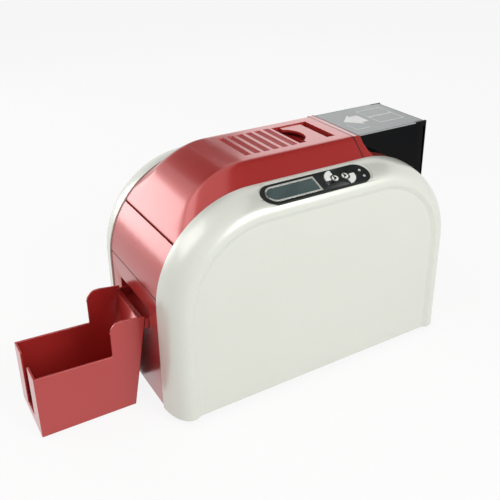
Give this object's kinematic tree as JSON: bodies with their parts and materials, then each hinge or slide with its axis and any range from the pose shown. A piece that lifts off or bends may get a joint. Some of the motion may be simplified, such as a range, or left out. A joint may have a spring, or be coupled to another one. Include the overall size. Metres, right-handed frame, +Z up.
{
  "type": "id card printer",
  "caption": "Desktop card printer with arched side covers, hinged top cover, tall card cassette, rollers, ribbon and a pull-off output hopper.",
  "frame": {"origin": "middle of the whole outline in plan, on the table under the feet", "axes": "+X from the output hopper towards the card cassette, +Y towards the side away from the control panel, +Z up"},
  "size_m": [0.491, 0.2, 0.2583],
  "materials": {
    "silver_paint": "silver painted plastic with a fine metallic flake",
    "red_paint": "dark red metallic paint on plastic",
    "smoked_plastic": "dark smoked glossy plastic",
    "black_plastic": "black moulded plastic",
    "grey_plastic": "grey moulded plastic with a fine grain",
    "white_plastic": "white moulded plastic",
    "white_print": "white printed marks",
    "panel_black": "dark satin control panel",
    "display_glass": "grey display window",
    "display_trim": "silver trim",
    "steel": "plain steel",
    "zinc_sheet": "zinc plated sheet steel",
    "aluminium": "extruded aluminium",
    "brass": "brass gear",
    "roller_rubber": "black roller rubber",
    "foot_rubber": "black foot rubber",
    "belt_rubber": "black belt",
    "blue_rubber": "tacky blue cleaning rubber",
    "ribbon": "thin dark ribbon film",
    "board_green": "green circuit board",
    "lamp_lens": "clear lamp lens"
  },
  "bodies": {
    "body": {"near_side_cover": "silver_paint", "far_side_cover": "silver_paint", "lower_front_panel": "red_paint", "middle_front_panel": "red_paint", "rear_casing": "red_paint", "base_tray": "black_plastic", "rubber_feet": "foot_rubber", "near_chassis_plate": "zinc_sheet", "far_chassis_plate": "zinc_sheet", "chassis_tie_bars": "steel", "card_rails": "zinc_sheet", "ribbon_guide_bars": "steel", "drive_motor": "steel", "drive_belt": "belt_rubber", "pick_belt": "belt_rubber", "ribbon_film": "ribbon", "mainboard": "board_green", "board_parts": "black_plastic", "usb_port": "steel", "power_inlet": "black_plastic", "switch_frame": "black_plastic", "panel_bezel": "panel_black", "display_frame": "display_trim", "display_window": "display_glass", "status_lamps": "lamp_lens", "hinge_pin": "steel", "case_screws": "steel"},
    "motor_rotor": {"motor_gear": "brass"},
    "platen": {"platen_shaft": "steel", "platen_tyre": "roller_rubber"},
    "feed": {"feed_shaft": "steel", "feed_tyre": "roller_rubber"},
    "exit": {"exit_shaft": "steel", "exit_tyre": "roller_rubber"},
    "pick": {"pick_shaft": "steel", "pick_tyre": "roller_rubber"},
    "feed_pinch": {"feed_pinch_roller": "black_plastic"},
    "exit_pinch": {"exit_pinch_roller": "black_plastic"},
    "cleaner": {"cleaning_roller": "blue_rubber"},
    "head": {"print_head_arm": "zinc_sheet", "print_head": "aluminium"},
    "supply": {"supply_spool": "white_plastic", "supply_roll": "ribbon"},
    "take_up": {"take_up_spool": "white_plastic", "take_up_roll": "ribbon"},
    "rocker": {"power_rocker": "black_plastic"},
    "left_arc": {"left_arc_key": "white_plastic"},
    "right_arc": {"right_arc_key": "white_plastic"},
    "left_ring": {"left_ring_key": "white_plastic"},
    "right_ring": {"right_ring_key": "white_plastic"},
    "cover": {"top_cover": "red_paint"},
    "latch": {"latch_plate": "red_paint"},
    "cassette": {"cassette_body": "smoked_plastic", "lid_pin": "steel"},
    "lid": {"cassette_lid": "grey_plastic", "lid_marks": "white_print"},
    "weight": {"card_weight": "grey_plastic"},
    "hopper": {"output_hopper": "red_paint"}
  },
  "joints": [
    {"name": "cover_hinge", "type": "hinge", "parent": "body", "child": "cover", "pos_m": [-0.09355, 0, 0.1954], "axis": [0, -1, 0], "range_deg": [0, 70]},
    {"name": "latch_slide", "type": "slide", "parent": "cover", "child": "latch", "axis": [1, 0, 0], "range_m": [0, 0.006], "stiffness_N_per_m": 300, "springref_m": -0.003},
    {"name": "cassette_slide", "type": "slide", "parent": "body", "child": "cassette", "axis": [1, 0, 0], "range_m": [0, 0.112]},
    {"name": "lid_hinge", "type": "hinge", "parent": "cassette", "child": "lid", "pos_m": [0.2411, 0, 0.2539], "axis": [0, 1, 0], "range_deg": [0, 100]},
    {"name": "weight_slide", "type": "slide", "parent": "cassette", "child": "weight", "axis": [0, 0, 1], "range_m": [0, 0.108]},
    {"name": "hopper_slide", "type": "slide", "parent": "body", "child": "hopper", "axis": [-1, 0, 0], "range_m": [0, 0.03]},
    {"name": "head_lift", "type": "hinge", "parent": "body", "child": "head", "pos_m": [0.0497, 0, 0.142], "axis": [0, 1, 0], "range_deg": [0, 6]},
    {"name": "platen_spin", "type": "hinge", "parent": "body", "child": "platen", "pos_m": [0.0077, 0, 0.1045], "axis": [0, 1, 0], "continuous": true},
    {"name": "feed_spin", "type": "hinge", "parent": "body", "child": "feed", "pos_m": [0.1177, 0, 0.1045], "axis": [0, 1, 0], "continuous": true},
    {"name": "exit_spin", "type": "hinge", "parent": "body", "child": "exit", "pos_m": [-0.0923, 0, 0.1045], "axis": [0, 1, 0], "continuous": true},
    {"name": "pick_spin", "type": "hinge", "parent": "body", "child": "pick", "pos_m": [0.1927, 0, 0.1], "axis": [0, 1, 0], "continuous": true},
    {"name": "motor_spin", "type": "hinge", "parent": "body", "child": "motor_rotor", "pos_m": [0.0077, 0, 0.0765], "axis": [0, 1, 0], "continuous": true},
    {"name": "feed_pinch_spin", "type": "hinge", "parent": "body", "child": "feed_pinch", "pos_m": [0.1177, 0, 0.11805], "axis": [0, 1, 0], "continuous": true},
    {"name": "exit_pinch_spin", "type": "hinge", "parent": "body", "child": "exit_pinch", "pos_m": [-0.0923, 0, 0.11805], "axis": [0, 1, 0], "continuous": true},
    {"name": "cleaner_spin", "type": "hinge", "parent": "body", "child": "cleaner", "pos_m": [0.0827, 0, 0.1193], "axis": [0, 1, 0], "continuous": true},
    {"name": "supply_spin", "type": "hinge", "parent": "body", "child": "supply", "pos_m": [0.0917, 0, 0.158], "axis": [0, 1, 0], "continuous": true},
    {"name": "take_up_spin", "type": "hinge", "parent": "body", "child": "take_up", "pos_m": [-0.0443, 0, 0.15], "axis": [0, 1, 0], "continuous": true},
    {"name": "power_rocker_tilt", "type": "hinge", "parent": "body", "child": "rocker", "pos_m": [0.2376, 0.043, 0.0355], "axis": [0, 1, 0], "range_deg": [0, 16]},
    {"name": "left_arc_press", "type": "slide", "parent": "body", "child": "left_arc", "axis": [0, 0.3584, -0.9336], "range_m": [0, 0.0008], "stiffness_N_per_m": 400, "springref_m": -0.0004},
    {"name": "right_arc_press", "type": "slide", "parent": "body", "child": "right_arc", "axis": [0, 0.3584, -0.9336], "range_m": [0, 0.0008], "stiffness_N_per_m": 400, "springref_m": -0.0004},
    {"name": "left_ring_press", "type": "slide", "parent": "body", "child": "left_ring", "axis": [0, 0.3584, -0.9336], "range_m": [0, 0.0008], "stiffness_N_per_m": 400, "springref_m": -0.0004},
    {"name": "right_ring_press", "type": "slide", "parent": "body", "child": "right_ring", "axis": [0, 0.3584, -0.9336], "range_m": [0, 0.0008], "stiffness_N_per_m": 400, "springref_m": -0.0004}
  ],
  "couplings": [
    {"joint": "feed_spin", "follows": "platen_spin", "ratio": 1},
    {"joint": "exit_spin", "follows": "platen_spin", "ratio": 1},
    {"joint": "pick_spin", "follows": "platen_spin", "ratio": 1},
    {"joint": "motor_spin", "follows": "platen_spin", "ratio": -3},
    {"joint": "feed_pinch_spin", "follows": "platen_spin", "ratio": -1.5},
    {"joint": "exit_pinch_spin", "follows": "platen_spin", "ratio": -1.5},
    {"joint": "take_up_spin", "follows": "supply_spin", "ratio": 1.2692}
  ]
}
